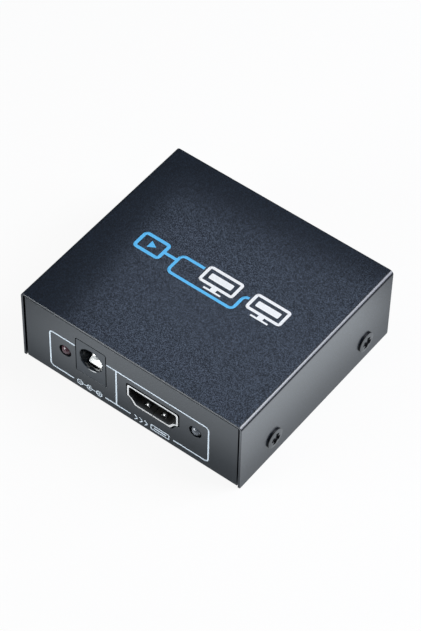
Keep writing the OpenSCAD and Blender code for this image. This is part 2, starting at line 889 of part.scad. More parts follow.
module power_inductor() {
    color("#3a3a3c")
        place(inductor_at)
            intersection() {
                translate([-inductor_size.x / 2, -inductor_size.y / 2, 0]) cube(inductor_size);
                cylinder(d = inductor_round_d, h = inductor_size.z);
            }
}

// Capacitors around the splitter chip
module chip_capacitors() {
    color("#b9996b")
        for (side = [-1, 1])
            for (i = [0 : ring_parts - 1])
                on_board(splitter_at + [in_row(i, ring_parts, ring_pitch), side * ring_in], passive_size);
}

// Resistors in rows behind the video sockets
module chip_resistors() {
    color("#1c1c1e")
        for (row = [[input_x, -row_y], [-output_x, row_y], [output_x, row_y]])
            for (i = [0 : row_parts - 1])
                on_board([row.x + in_row(i, row_parts, row_pitch), row.y], passive_size);
}

base_chassis();
board_standoffs();
circuit_board();
board_screws();
input_socket_shell();
input_socket_insulator();
input_socket_contacts();
output_socket_shell(1);  // output_socket_1_shell
output_socket_insulator(1);  // output_socket_1_insulator
output_socket_contacts(1);  // output_socket_1_contacts
output_socket_shell(-1);  // output_socket_2_shell
output_socket_insulator(-1);  // output_socket_2_insulator
output_socket_contacts(-1);  // output_socket_2_contacts
power_jack_housing();
power_jack_pin();
power_jack_spring();
power_jack_terminals();
front_led_lens(power_led_x, "#8c3b40");  // power_led_lens
front_led_leads(power_led_x);  // power_led_leads
front_led_lens(input_led_x, "#9aa0a6");  // input_led_lens
front_led_leads(input_led_x);  // input_led_leads
output_led_lens(1);  // output_led_1_lens
output_led_leads(1);  // output_led_1_leads
output_led_lens(-1);  // output_led_2_lens
output_led_leads(-1);  // output_led_2_leads
splitter_chip();
splitter_chip_pins();
memory_chips();
memory_chip_pins();
regulator();
regulator_leads();
crystal();
electrolytic_capacitors();
power_inductor();
chip_capacitors();
chip_resistors();
top_cover();
cover_screws();
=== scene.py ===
import json
import math

import bmesh
import bpy
from mathutils import Matrix, Vector

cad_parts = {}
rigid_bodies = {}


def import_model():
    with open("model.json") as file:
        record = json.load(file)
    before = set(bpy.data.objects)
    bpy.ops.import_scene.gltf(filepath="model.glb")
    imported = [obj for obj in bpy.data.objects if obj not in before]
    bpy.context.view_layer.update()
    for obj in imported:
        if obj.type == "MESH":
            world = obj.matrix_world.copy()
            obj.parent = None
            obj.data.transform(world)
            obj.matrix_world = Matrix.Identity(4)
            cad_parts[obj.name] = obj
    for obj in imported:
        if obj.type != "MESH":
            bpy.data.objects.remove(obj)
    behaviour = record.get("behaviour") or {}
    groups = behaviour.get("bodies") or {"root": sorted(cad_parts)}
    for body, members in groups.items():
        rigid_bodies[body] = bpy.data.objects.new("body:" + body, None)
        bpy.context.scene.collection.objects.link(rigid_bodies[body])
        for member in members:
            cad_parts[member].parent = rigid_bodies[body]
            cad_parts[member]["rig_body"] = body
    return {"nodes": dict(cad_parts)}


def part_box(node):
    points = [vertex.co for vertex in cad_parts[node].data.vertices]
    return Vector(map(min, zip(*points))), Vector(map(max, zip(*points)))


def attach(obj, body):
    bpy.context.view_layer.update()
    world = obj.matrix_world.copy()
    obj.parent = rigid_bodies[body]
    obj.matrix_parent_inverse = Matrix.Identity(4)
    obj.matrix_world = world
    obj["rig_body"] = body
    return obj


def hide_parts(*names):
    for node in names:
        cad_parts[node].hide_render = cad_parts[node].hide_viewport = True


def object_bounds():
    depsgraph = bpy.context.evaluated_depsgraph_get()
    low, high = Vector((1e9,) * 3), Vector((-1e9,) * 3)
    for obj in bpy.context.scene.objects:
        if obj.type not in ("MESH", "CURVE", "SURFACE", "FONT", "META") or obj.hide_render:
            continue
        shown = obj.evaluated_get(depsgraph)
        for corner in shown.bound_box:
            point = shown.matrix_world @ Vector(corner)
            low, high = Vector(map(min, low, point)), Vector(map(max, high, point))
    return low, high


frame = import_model()

# The camera stands in front of the box, to its right and well above it, with a slight roll.
# Its lens is long, so the far edges of the box stay nearly parallel to the near ones.
mm = 0.001
azimuth = math.radians(36.56)
elevation = math.radians(50.39)
roll = math.radians(1.32)
distance = 639.2 * mm
aim_right = 0.916 * mm
aim_up = 6.746 * mm
image_height = 631
focal_pixels = 2644

back = Vector((
    math.sin(azimuth) * math.cos(elevation),
    -math.cos(azimuth) * math.cos(elevation),
    math.sin(elevation),
))
level = Vector((math.cos(azimuth), math.sin(azimuth), 0))
upright = back.cross(level)
right = level * math.cos(roll) + upright * math.sin(roll)
up = upright * math.cos(roll) - level * math.sin(roll)
lens = bpy.data.cameras.new("camera")
lens.lens = focal_pixels * lens.sensor_width / image_height
lens.clip_start = 1 * mm
camera = bpy.data.objects.new("camera", lens)
camera.matrix_world = Matrix.Translation(
    back * distance + right * aim_right + up * aim_up
) @ Matrix((right, up, back)).transposed().to_4x4()
bpy.context.scene.collection.objects.link(camera)
bpy.context.scene.camera = camera
bpy.context.scene.view_settings.view_transform = "Standard"


# The box stands on a white table in a dim studio, against a white backdrop. Shiny pieces see a patch of the
# table round the box as pale too: a painted pool of light, with a painted shade at the foot of the box, and
# dark grey beyond it. The table keeps the shadow that the box casts on it. Of the lamps, the panel close
# over the box shows in reflections alone, and the fill lights matt surfaces alone.
class Flow:
    """A node's output. Arithmetic on it adds Math nodes, and add() puts any other node in its tree."""

    def __init__(self, tree, socket=None):
        self.tree = tree
        self.socket = socket

    def add(self, kind, settings=(), sockets=(), output=0):
        node = self.tree.nodes.new(kind)
        for name, value in dict(settings).items():
            setattr(node, name, value)
        for name, value in dict(sockets).items():
            feed(node.inputs[name], value)
        return Flow(self.tree, node.outputs[output])

    def math(self, operation, first, second=0):
        return self.add("ShaderNodeMath", {"operation": operation}, {0: first, 1: second})

    def __add__(self, other):
        return self.math("ADD", self, other)

    def __sub__(self, other):
        return self.math("SUBTRACT", self, other)

    def __rsub__(self, other):
        return self.math("SUBTRACT", other, self)

    def __mul__(self, other):
        return self.math("MULTIPLY", self, other)

    def __gt__(self, other):
        return self.math("GREATER_THAN", self, other)

    def __lt__(self, other):
        return self.math("LESS_THAN", self, other)

    def __abs__(self):
        return self.math("ABSOLUTE", self)

    __radd__ = __add__
    __rmul__ = __mul__

    def mix(self, first, second):
        """Colour that goes from the first to the second as this value goes from 0 to 1."""
        return self.add("ShaderNodeMix", {"data_type": "RGBA"}, {0: self, 6: first, 7: second}, 2)

    def ramp(self, start, end, low=0, high=1):
        """Value that goes smoothly from low to high as this one goes from start to end."""
        sockets = {"Value": self, "From Min": start, "From Max": end, "To Min": low, "To Max": high}
        return self.add("ShaderNodeMapRange", {"interpolation_type": "SMOOTHSTEP"}, sockets)


def feed(socket, value):
    """Links a node's output to a socket, or sets the socket to a plain value."""
    if isinstance(value, Flow):
        value.tree.links.new(value.socket, socket)
    else:
        socket.default_value = value


def grey(share):
    return (share, share, share, 1)


room_light = (0.05, 0.068, 0.1, 1)
world = bpy.data.worlds.new("studio")
world.use_nodes = True
bpy.context.scene.world = world
backdrop = Flow(world.node_tree).add("ShaderNodeLightPath", output="Is Camera Ray")
feed(world.node_tree.nodes["Background"].inputs["Color"], backdrop.mix(room_light, grey(1)))

cad_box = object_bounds()
table_half = 3
table_drop = 0.02 * mm
table_mesh = bmesh.new()
bmesh.ops.create_grid(table_mesh, x_segments=1, y_segments=1, size=table_half)
bmesh.ops.translate(table_mesh, vec=(0, 0, -table_drop), verts=table_mesh.verts)
table_data = bpy.data.meshes.new("table")
table_mesh.to_mesh(table_data)
table_mesh.free()
table = bpy.data.objects.new("table", table_data)
bpy.context.scene.collection.objects.link(table)

camera_glow = 0.9
glossy_glow = 1
glow_tint = (0.93, 1, 1.07, 1)
card_white = grey(0.82)
mirrored_table_shade = grey(0.12)
# Painted pool of light seen in reflections, and the painted shade at the foot of the box within it.
pool_low = (-40 * mm, -62 * mm)
pool_high = (68 * mm, 41 * mm)
pool_edge = (22 * mm, 16 * mm)
foot_start = (-1 * mm, -3 * mm)
foot_lean = (0, 0.085)
foot_reach = (12 * mm, 14 * mm)
foot_level = (0.36, 0.2)
table_top = bpy.data.materials.new("table_top")
table_top.use_nodes = True
table_data.materials.append(table_top)
top_tree = table_top.node_tree
matt = top_tree.nodes["Principled BSDF"]
matt.inputs["Roughness"].default_value = 0.9
matt.inputs["Specular IOR Level"].default_value = 0
seen = Flow(top_tree).add("ShaderNodeLightPath", output="Is Camera Ray")
mirrored = Flow(top_tree, seen.socket.node.outputs["Is Glossy Ray"])
through = Flow(top_tree, seen.socket.node.outputs["Is Transmission Ray"])
spot = seen.add("ShaderNodeSeparateXYZ", {}, {0: seen.add("ShaderNodeTexCoord", output="Object")})
# In reflections the table darkens towards the foot of the box (painted shade) and glows only inside the pool
# (painted light).
aside = []
inside = []
for i in (0, 1):
    along = Flow(top_tree, spot.socket.node.outputs[i])
    outside = abs(along) - cad_box[1][i]
    dark = foot_start[i] + foot_lean[i] * (spot - cad_box[0][0])
    aside.append((outside > foot_start[i]) * (outside - dark).ramp(0, foot_reach[i], foot_level[i]))
    within = spot.math("MINIMUM", along - pool_low[i], pool_high[i] - along)
    inside.append(within.ramp(-pool_edge[i], pool_edge[i]))
painted_light_pool = spot.math("MINIMUM", *inside)
painted_foot_shade = spot.math("MAXIMUM", *aside)
# Painted shade: beyond the pool, reflections see the table as dark grey.
feed(matt.inputs["Base Color"], mirrored.mix(card_white, mirrored_table_shade))
glow = seen.add("ShaderNodeEmission", {}, {"Color": seen.mix(glow_tint, grey(1)), "Strength": 1})
shown = seen.add(
    "ShaderNodeMixShader",
    {},
    {
        0: camera_glow * seen + glossy_glow * (mirrored + through) * painted_light_pool * painted_foot_shade,
        1: Flow(top_tree, matt.outputs[0]),
        2: glow,
    },
)
feed(top_tree.nodes["Material Output"].inputs["Surface"], shown)


def softbox(name, towards, away, wide, tall, radiance, colour):
    """Area lamp that stands at a distance in a direction from the box, and faces it."""
    middle = (cad_box[0] + cad_box[1]) / 2
    direction = Vector(towards).normalized()
    lamp = bpy.data.lights.new(name, "AREA")
    lamp.shape = "RECTANGLE"
    lamp.size = wide
    lamp.size_y = tall
    lamp.energy = radiance * math.pi * wide * tall
    lamp.color = colour
    stand = bpy.data.objects.new(name, lamp)
    stand.location = middle + direction * away
    stand.rotation_euler = direction.to_track_quat("Z", "Y").to_euler()
    stand.visible_camera = False
    bpy.context.scene.collection.objects.link(stand)
    return stand


cool = (0.93, 0.97, 1)
pale_blue = (0.9, 0.93, 1.06)
blue = (0.77, 0.95, 1.3)
warm = (1, 0.84, 0.6)
overhead_place = (-6 * mm, 17.5 * mm, 65 * mm)
overhead_turn = math.radians(6)
softbox("key", (0.5, 0.31, 0.8), away=0.6, wide=0.26, tall=0.36, radiance=5, colour=cool)
softbox("front_softbox", (-0.52, -0.82, 0.206), away=0.5, wide=0.36, tall=0.21, radiance=10, colour=cool)
softbox("side_softbox", (0.655, 0.51, 0.555), away=0.5, wide=0.34, tall=0.4, radiance=4.2, colour=pale_blue)
overhead = softbox("overhead_panel", (0, 0, 1), away=0, wide=0.074, tall=0.07, radiance=0.97, colour=blue)
overhead.location = overhead_place
overhead.rotation_euler.z = overhead_turn
overhead.visible_diffuse = False
fill = softbox("fill", (0, 0, 1), away=0.5, wide=0.3, tall=0.3, radiance=2, colour=warm)
fill.visible_glossy = False


# Base, front and rear panel: one steel sheet, punched, folded up at front and rear and powder coated
# in satin dark grey. Its ears take the cover screws. The coat rounds off every cut edge a little.
def tone(code):
    """Colour of a six-digit code, as the shaders take it."""
    shares = [int(code[i:i + 2], 16) / 255 for i in (0, 2, 4)]
    return (*[s / 12.92 if s <= 0.04045 else ((s + 0.055) / 1.055) ** 2.4 for s in shares], 1)


def finish(name, constants):
    """New material: its shader's sockets with what is constant, and the place on the object."""
    material = bpy.data.materials.new(name)
    material.use_nodes = True
    shader = material.node_tree.nodes["Principled BSDF"].inputs
    for key, value in constants.items():
        shader[key].default_value = value
    place = Flow(material.node_tree).add("ShaderNodeTexCoord", output="Object")
    return material, shader, place


def grain(place, size, detail=2):
    """Noise from 0 to 1 whose lumps are about as large as size."""
    return place.add("ShaderNodeTexNoise", {}, {"Vector": place, "Scale": 1 / size, "Detail": detail})


def raised(height, strength, depth):
    """Bump of a height from 0 to 1 that stands depth high."""
    return height.add("ShaderNodeBump", {}, {"Height": height, "Strength": strength, "Distance": depth})


def new_piece(mesh, name):
    """Object of a finished mesh, with smooth shading that leaves flat faces flat."""
    data = bpy.data.meshes.new(name)
    mesh.to_mesh(data)
    mesh.free()
    data.shade_smooth()
    piece = bpy.data.objects.new(name, data)
    bpy.context.scene.collection.objects.link(piece)
    piece.modifiers.new("flat_faces", "WEIGHTED_NORMAL").keep_sharp = True
    return piece


def eased(node, edge, name, material):
    """Copy of a CAD piece with its sharp edges rounded, which stands for the piece."""
    merge_within = 0.0005 * mm
    flat_within = math.radians(0.2)
    sharp_over = math.radians(28)
    mesh = bmesh.new()
    mesh.from_mesh(frame["nodes"][node].data)
    bmesh.ops.remove_doubles(mesh, verts=mesh.verts, dist=merge_within)
    bmesh.ops.dissolve_limit(mesh, angle_limit=flat_within, verts=mesh.verts, edges=mesh.edges)
    sharp = [e for e in mesh.edges if e.is_manifold and e.calc_face_angle() > sharp_over]
    bmesh.ops.bevel(
        mesh,
        geom=sharp,
        offset=edge,
        segments=2,
        profile=0.5,
        affect="EDGES",
        material=-1,
        clamp_overlap=True,
    )
    piece = new_piece(mesh, name)
    piece.data.materials.append(material)
    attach(piece, frame["nodes"][node]["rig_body"])
    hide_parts(node)


panel_paint, shader, place = finish("panel_paint", {"Coat Weight": 0.66, "Coat Roughness": 0.17})
sand = grain(place, 0.22 * mm)
cloud = grain(place, 6 * mm)
feed(shader["Base Color"], cloud.mix(tone("161b20"), tone("1b2127")))
feed(shader["Roughness"], 0.32 + 0.12 * sand)
feed(shader["Normal"], raised(sand, 0.3, 0.012 * mm))
eased("base_chassis", 0.1 * mm, "painted_chassis", panel_paint)


# Print on the front panel: one pass of pale ink, screened on the paint. Thin frames surround the power
# jack with its light and the input socket with its light, and small signs stand in their lower edges.
class Pen:
    """Printed line on a flat sheet. Its nib is an edge as wide as the line, drawn along and round bends."""

    degrees_a_step = 15

    def __init__(self, sheet, x, y, heading, width):
        self.sheet = sheet
        self.at = Vector((x, y, 0))
        self.heading = math.radians(heading)
        half = self.across() * width / 2
        self.nib = sheet.edges.new((sheet.verts.new(self.at + half), sheet.verts.new(self.at - half)))

    def along(self):
        return Vector((math.cos(self.heading), math.sin(self.heading), 0))

    def across(self):
        return Vector((-math.sin(self.heading), math.cos(self.heading), 0))

    def go(self, length):
        made = bmesh.ops.extrude_edge_only(self.sheet, edges=[self.nib])["geom"]
        self.take(made)
        bmesh.ops.translate(self.sheet, vec=self.along() * length, verts=self.nib.verts[:])
        self.at = self.at + self.along() * length
        return self

    def bend(self, degrees, radius):
        turn = math.radians(degrees)
        made = bmesh.ops.spin(
            self.sheet,
            geom=[*self.nib.verts, self.nib],
            cent=self.at + self.across() * math.copysign(radius, turn),
            axis=(0, 0, 1),
            angle=turn,
            steps=round(abs(degrees) / self.degrees_a_step),
        )["geom_last"]
        self.take(made)
        self.heading += turn
        self.at = (self.nib.verts[0].co + self.nib.verts[1].co) / 2
        return self

    def take(self, made):
        self.nib = self.sheet.edges.get([v for v in made if isinstance(v, bmesh.types.BMVert)])


def plate(sheet, x, y, wide, tall, corner):
    """Filled rectangle with round corners. Returns its face."""
    before = set(sheet.faces)
    place = Matrix.Translation((x, y, 0)) @ Matrix.Diagonal((wide, tall, 1, 1))
    made = bmesh.ops.create_grid(sheet, x_segments=1, y_segments=1, size=0.5, matrix=place)["verts"]
    bmesh.ops.bevel(sheet, geom=made, offset=corner, segments=5, profile=0.5, affect="VERTICES", material=-1)
    return (set(sheet.faces) - before).pop()


def disc(sheet, x, y, radius, corners=24, turned=0):
    """Filled disc, or a regular shape with few corners. Returns its face."""
    before = set(sheet.faces)
    place = Matrix.Translation((x, y, 0)) @ Matrix.Rotation(math.radians(turned), 4, "Z")
    bmesh.ops.create_circle(sheet, cap_ends=True, segments=corners, radius=radius, matrix=place)
    return (set(sheet.faces) - before).pop()


def hollowed(sheet, face, line):
    """Leaves only a line along the edge of a filled shape."""
    bmesh.ops.inset_region(sheet, faces=[face], thickness=line, use_even_offset=True, use_boundary=True)
    bmesh.ops.delete(sheet, geom=[face], context="FACES")


def chevrons(sheet, x, y, pitch, tall, line):
    """Three arrow heads in a row that point along +x."""
    arm = tall / math.sqrt(2)
    tip = 0.7 * line
    for i in range(3):
        Pen(sheet, x + i * pitch, y + tall / 2, -45, line).go(arm).bend(-90, tip).go(arm)


def ink(name, colour):
    """Matt screen ink, a little thin and uneven."""
    material, shader, place = finish(name, {"Specular IOR Level": 0.3})
    thin = (*[0.8 * c for c in colour[:3]], 1)
    film = grain(place, 0.35 * mm)
    feed(shader["Base Color"], film.mix(thin, colour))
    feed(shader["Roughness"], 0.45 + 0.15 * film)
    return material


def printed(sheet, name, material, surface):
    """Gives the drawn shapes the thickness of ink and lays them on a painted surface."""
    ink_height = 0.005 * mm
    for face in sheet.faces:
        if face.normal.z < 0:
            face.normal_flip()
    bmesh.ops.solidify(sheet, geom=sheet.faces[:], thickness=ink_height)
    heights = [v.co.z for v in sheet.verts]
    bmesh.ops.translate(sheet, vec=(0, 0, ink_height - max(heights)), verts=sheet.verts)
    bmesh.ops.transform(sheet, matrix=surface, verts=sheet.verts)
    bmesh.ops.recalc_face_normals(sheet, faces=sheet.faces)
    piece = new_piece(sheet, name)
    piece.data.materials.append(material)
    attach(piece, "enclosure")


front_low, front_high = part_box("base_chassis")
jack_low, jack_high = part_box("power_jack_housing")
on_front = Matrix.Translation((0, front_low.y, 0)) @ Matrix.Rotation(math.radians(90), 4, "X")
frame_line = 0.42 * mm
frame_low = 2.55 * mm
frame_high = 15.3 * mm
frame_left = -24.1 * mm
frame_divide = -4.1 * mm
frame_right = 23.1 * mm
frame_corner = 1 * mm
frame_straight = frame_high - frame_low - 2 * frame_corner
frame_inside = frame_high - frame_low - frame_line
jack_clear = 0.35 * mm
power_sign = (-17.05 * mm, -7.5 * mm)
input_sign = (0.15 * mm, 12.85 * mm)

front_sheet = bmesh.new()
power_frame = Pen(front_sheet, power_sign[0], frame_low, 180, frame_line)
power_frame.go(power_sign[0] - frame_left - frame_corner).bend(-90, frame_corner).go(frame_straight)
power_frame.bend(-90, frame_corner).go(jack_low.x - jack_clear - frame_left - frame_corner)
input_frame = Pen(front_sheet, jack_high.x + jack_clear, frame_high, 0, frame_line)
input_frame.go(frame_right - frame_corner - jack_high.x - jack_clear).bend(-90, frame_corner)
input_frame.go(frame_straight).bend(-90, frame_corner).go(frame_right - frame_corner - input_sign[1])
Pen(front_sheet, power_sign[1], frame_low, 0, frame_line).go(input_sign[0] - power_sign[1])
Pen(front_sheet, frame_divide, frame_low + frame_line / 2, 90, frame_line).go(frame_inside)

sign_line = 0.3 * mm
sign_tall = 1.9 * mm
sign_corner = 0.35 * mm
dot_r = 0.42 * mm
ring_r = sign_tall / 2
ring_in = 0.9 * mm
bar_long = 0.9 * mm
bar_line = 0.24 * mm
bar_corner = 0.02 * mm
stub_long = 0.33 * mm
stub_out = 0.29 * mm
power_middle = sum(power_sign) / 2
ring_out = (power_sign[1] - power_sign[0]) / 2 - ring_in - ring_r
for side in (-1, 1):
    ring_x = power_middle + side * ring_out
    stub_y = frame_low + side * stub_out
    hollowed(front_sheet, disc(front_sheet, ring_x, frame_low, ring_r), sign_line)
    plate(front_sheet, ring_x, frame_low, bar_long, bar_line, bar_corner)
    plate(front_sheet, power_middle + ring_out, stub_y, bar_line, stub_long, bar_corner)
disc(front_sheet, power_middle, frame_low, dot_r)
Pen(front_sheet, power_middle + dot_r, frame_low, 0, sign_line).go(ring_out - ring_r - dot_r)
Pen(front_sheet, power_middle - ring_out + ring_r, frame_low, 0, sign_line).go(ring_out - 2 * ring_r)
cup_r = ring_r - sign_line / 2
cup_end = cup_r / math.sqrt(2)
Pen(front_sheet, power_middle + cup_end, frame_low + cup_end, 135, sign_line).bend(270, cup_r)

arrow_tall = 1.5 * mm
arrow_pitch = 1.5 * mm
arrows_in = 1.2 * mm
port_in = 3.9 * mm
port_wide = 5.6 * mm
tongue_wide = 3.6 * mm
tongue_tall = 0.4 * mm
tongue_corner = 0.05 * mm
port_x = input_sign[1] - port_in
chevrons(front_sheet, input_sign[0] + arrows_in, frame_low, arrow_pitch, arrow_tall, sign_line)
port = plate(front_sheet, port_x, frame_low, port_wide, sign_tall, sign_corner)
hollowed(front_sheet, port, sign_line)
plate(front_sheet, port_x, frame_low, tongue_wide, tongue_tall, tongue_corner)
pale_ink = ink("pale_ink", tone("dde8f1"))
printed(front_sheet, "front_print", pale_ink, on_front)

# Print on the rear panel: the same pale ink. A frame surrounds each output socket with its light, and
# a sign in its lower edge counts the outputs with one dot and two.
on_rear = Matrix.Translation((0, front_high.y, 0)) @ Matrix.Rotation(math.radians(180), 4, "Z")
on_rear = on_rear @ Matrix.Rotation(math.radians(90), 4, "X")
rear_reach = 25.2 * mm
rear_straight = rear_reach - frame_corner
rear_sign = (5.6 * mm, 16.4 * mm)
count_in = 3.2 * mm
count_wide = 4.4 * mm
dot_pitch = 1.3 * mm
rear_arrows_in = 6.4 * mm
rear_arrow_pitch = 1.3 * mm
rear_sheet = bmesh.new()
rear_frame = Pen(rear_sheet, rear_sign[1], frame_low, 0, frame_line)
rear_frame.go(rear_straight - rear_sign[1]).bend(90, frame_corner).go(frame_straight)
rear_frame.bend(90, frame_corner).go(2 * rear_straight).bend(90, frame_corner).go(frame_straight)
rear_frame.bend(90, frame_corner).go(rear_straight - rear_sign[1])
Pen(rear_sheet, -rear_sign[0], frame_low, 0, frame_line).go(2 * rear_sign[0])
Pen(rear_sheet, 0, frame_low + frame_line / 2, 90, frame_line).go(frame_inside)
for count, left in ((2, rear_sign[0]), (1, -rear_sign[1])):
    count_x = left + count_in
    badge = plate(rear_sheet, count_x, frame_low, count_wide, sign_tall, sign_corner)
    hollowed(rear_sheet, badge, sign_line)
    for i in range(count):
        disc(rear_sheet, count_x + (i - (count - 1) / 2) * dot_pitch, frame_low, dot_r)
    chevrons(rear_sheet, left + rear_arrows_in, frame_low, rear_arrow_pitch, arrow_tall, sign_line)
printed(rear_sheet, "rear_print", pale_ink, on_rear)


# Standoffs: turned brass pillars, each with a spigot that is clinched into the base. They carry the
# board and take its screws.
def coat_nodes(material, *nodes):
    """Puts a finish on CAD pieces that keep their own shape."""
    for node in nodes:
        for holder in frame["nodes"][node].material_slots:
            holder.material = material


turning_scale = 900
brass, shader, place = finish("standoff_brass", {"Metallic": 1})
turned = place.add(
    "ShaderNodeTexWave",
    {"bands_direction": "Z"},
    {"Vector": place, "Scale": turning_scale, "Distortion": 1},
)
feed(shader["Base Color"], grain(place, 2 * mm).mix(tone("b9984a"), tone("d2b266")))
feed(shader["Roughness"], 0.24 + 0.12 * turned)
feed(shader["Normal"], raised(turned, 0.2, 0.01 * mm))
coat_nodes(brass, "board_standoffs")

# Circuit board: glass-fibre laminate under green solder resist. Copper tracks show through as lighter
# lines, and the glass cloth as a faint weave. It rests on the standoffs.
track_scale = 420
track_share = 0.06
weave_scale = 2500
weave_share = 0.12
resist, shader, place = finish("board_laminate", {"Specular IOR Level": 0.5})
tracks = place.add(
    "ShaderNodeTexVoronoi",
    {"feature": "DISTANCE_TO_EDGE", "distance": "MANHATTAN"},
    {"Vector": place, "Scale": track_scale, "Randomness": 0.7},
    "Distance",
)
copper = tracks < track_share
weave = place.add("ShaderNodeTexChecker", {}, {"Vector": place, "Scale": weave_scale}, "Fac")
mask = copper.mix(tone("0f4526"), tone("1b6a3a"))
feed(shader["Base Color"], (weave_share * weave).mix(mask, tone("2d7a48")))
feed(shader["Roughness"], 0.3 + 0.1 * grain(place, 1 * mm))
feed(shader["Normal"], raised(copper + 0.1 * weave, 0.3, 0.02 * mm))
coat_nodes(resist, "circuit_board")


# Integrated circuits, regulator and chip resistors: black bodies with a fine matt grain, moulded from
# resin or glazed, and soldered flat on the board.
def mottle(shader, spots, colours, roughness):
    """Lets a grain lead a finish from its first colour and roughness to its second."""
    feed(shader["Base Color"], spots.mix(tone(colours[0]), tone(colours[1])))
    feed(shader["Roughness"], roughness[0] + (roughness[1] - roughness[0]) * spots)


resin, shader, place = finish("chip_resin", {"Specular IOR Level": 0.4})
fleck = grain(place, 0.08 * mm)
mottle(shader, fleck, ("18191b", "242527"), (0.5, 0.7))
feed(shader["Normal"], raised(fleck, 0.3, 0.008 * mm))
coat_nodes(resin, "splitter_chip", "memory_chips", "regulator", "chip_resistors")

# Pins, leads and terminals: stamped copper alloy, tinned, slightly dull and uneven from the solder bath.
# They join the chips, the power jack and the lights to the board.
tin, shader, place = finish("tinned_metal", {"Metallic": 1})
mottle(shader, grain(place, 0.3 * mm), ("b7babd", "d6d8da"), (0.28, 0.48))
coat_nodes(
    tin,
    "splitter_chip_pins",
    "memory_chip_pins",
    "regulator_leads",
    "power_jack_terminals",
    "power_led_leads",
    "input_led_leads",
    "output_led_1_leads",
    "output_led_2_leads",
)

# Crystal and electrolytic capacitors: cans drawn from thin metal, with light streaks along their height.
# They stand on the board.
drawing = (1, 1, 0.05)
can, shader, place = finish("can_aluminium", {"Metallic": 1})
drawn = place.add("ShaderNodeMapping", {}, {"Vector": place, "Scale": drawing})
mottle(shader, grain(drawn, 0.12 * mm), ("b4b7ba", "cdd0d2"), (0.25, 0.45))
coat_nodes(can, "crystal", "electrolytic_capacitors")

# Inductor: a block of pressed ferrite with a coarse, dark, slightly shiny grain. It smooths the supply
# and is soldered on the board.
ferrite, shader, place = finish("ferrite", {"Specular IOR Level": 0.5})
pressed = grain(place, 0.2 * mm)
mottle(shader, pressed, ("2c2c2e", "434346"), (0.4, 0.6))
feed(shader["Normal"], raised(pressed, 0.4, 0.02 * mm))
coat_nodes(ferrite, "power_inductor")

# Chip capacitors: small tan blocks, fired from thin layers of ceramic. They are soldered on the board
# near the chips that they serve.
ceramic, shader, place = finish("ceramic_chip", {"Specular IOR Level": 0.5})
mottle(shader, grain(place, 0.15 * mm), ("a88a60", "c2a67a"), (0.35, 0.5))
coat_nodes(ceramic, "chip_capacitors")

# Board screws: zinc-plated steel with pan heads. They run through the board and clamp it to its
# standoffs.
zinc, shader, place = finish("plated_screw", {"Metallic": 1})
mottle(shader, grain(place, 0.6 * mm), ("b9bcc0", "d3d5d6"), (0.22, 0.38))
coat_nodes(zinc, "board_screws")


# Video sockets: a plated steel shell with a flared lip and two pressed fingers, a black moulded tongue,
# and gilded contacts. The shell's front rim is polished, and is also made near-white and half matt as a
# painted highlight. Its inside is duller and has a darker colour, a painted shade. One stands in the front
# panel and two in the rear panel, soldered to the board.
def facing(place, axis):
    """How far a surface faces along an axis of its object, from -1 to 1."""
    normal = Flow(place.tree, place.socket.node.outputs["Normal"])
    return place.add("ShaderNodeSeparateXYZ", {}, {0: normal}, axis)


plating, shader, place = finish("socket_plating", {"Metallic": 1})
rolled = grain(place, 0.7 * mm)
# Painted shade and highlight: every face but the front rim gets a darker colour, and the rim a near-white,
# half-matt one.
rim = abs(facing(place, "Y")).ramp(0.75, 0.95)
polish_and_painted_highlight = rolled.mix(tone("f0efec"), tone("f9f8f6"))
feed(shader["Base Color"], rim.mix(tone("8a8986"), polish_and_painted_highlight))
feed(shader["Metallic"], 1 - 0.5 * rim)
feed(shader["Roughness"], 0.38 - 0.26 * rim + 0.08 * rolled)
moulding, shader, place = finish("socket_plastic", {"Specular IOR Level": 0.4})
mottle(shader, grain(place, 0.4 * mm), ("0e0f10", "18191a"), (0.4, 0.6))
gilding, shader, place = finish("contact_gilding", {"Metallic": 1})
mottle(shader, grain(place, 0.2 * mm), ("c39a3c", "e0bd63"), (0.22, 0.36))
for name in ("input_socket", "output_socket_1", "output_socket_2"):
    eased(name + "_shell", 0.06 * mm, name + "_plated_shell", plating)
    coat_nodes(moulding, name + "_insulator")
    coat_nodes(gilding, name + "_contacts")

# Power jack: a black moulded housing, flush with the panel, with a plated centre pin and a plated leaf
# spring that presses on the plug from below.
housing, shader, place = finish("jack_plastic", {"Coat Roughness": 0.12})
spark = grain(place, 0.25 * mm)
mottle(shader, spark, ("1b2127", "21282f"), (0.3, 0.42))
feed(shader["Coat Weight"], abs(facing(place, "Y")).ramp(0.8, 0.98, 1, 0.4))
feed(shader["Normal"], raised(spark, 0.3, 0.01 * mm))
eased("power_jack_housing", 0.08 * mm, "moulded_jack", housing)
nickel, shader, place = finish("jack_plating", {"Metallic": 1})
mottle(shader, grain(place, 0.4 * mm), ("dcdbd6", "eeede9"), (0.42, 0.52))
coat_nodes(nickel, "power_jack_pin", "power_jack_spring")

# Lights: round lenses of cast resin, tinted red for the power light and clear for the others. Each looks
# out of a hole in its panel and stands on its leads.
lens_edge = 0.04 * mm
red_resin, shader, place = finish("red_lens", {"IOR": 1.5, "Transmission Weight": 0.35})
mottle(shader, grain(place, 0.5 * mm), ("54383e", "664850"), (0.1, 0.2))
eased("power_led_lens", lens_edge, "power_lens", red_resin)
clear_resin, shader, place = finish("clear_lens", {"IOR": 1.5, "Transmission Weight": 0.5})
mottle(shader, grain(place, 0.5 * mm), ("6e747b", "8a9097"), (0.1, 0.2))
for name in ("input_led", "output_led_1", "output_led_2"):
    eased(name + "_lens", lens_edge, name.replace("led", "clear") + "_lens", clear_resin)

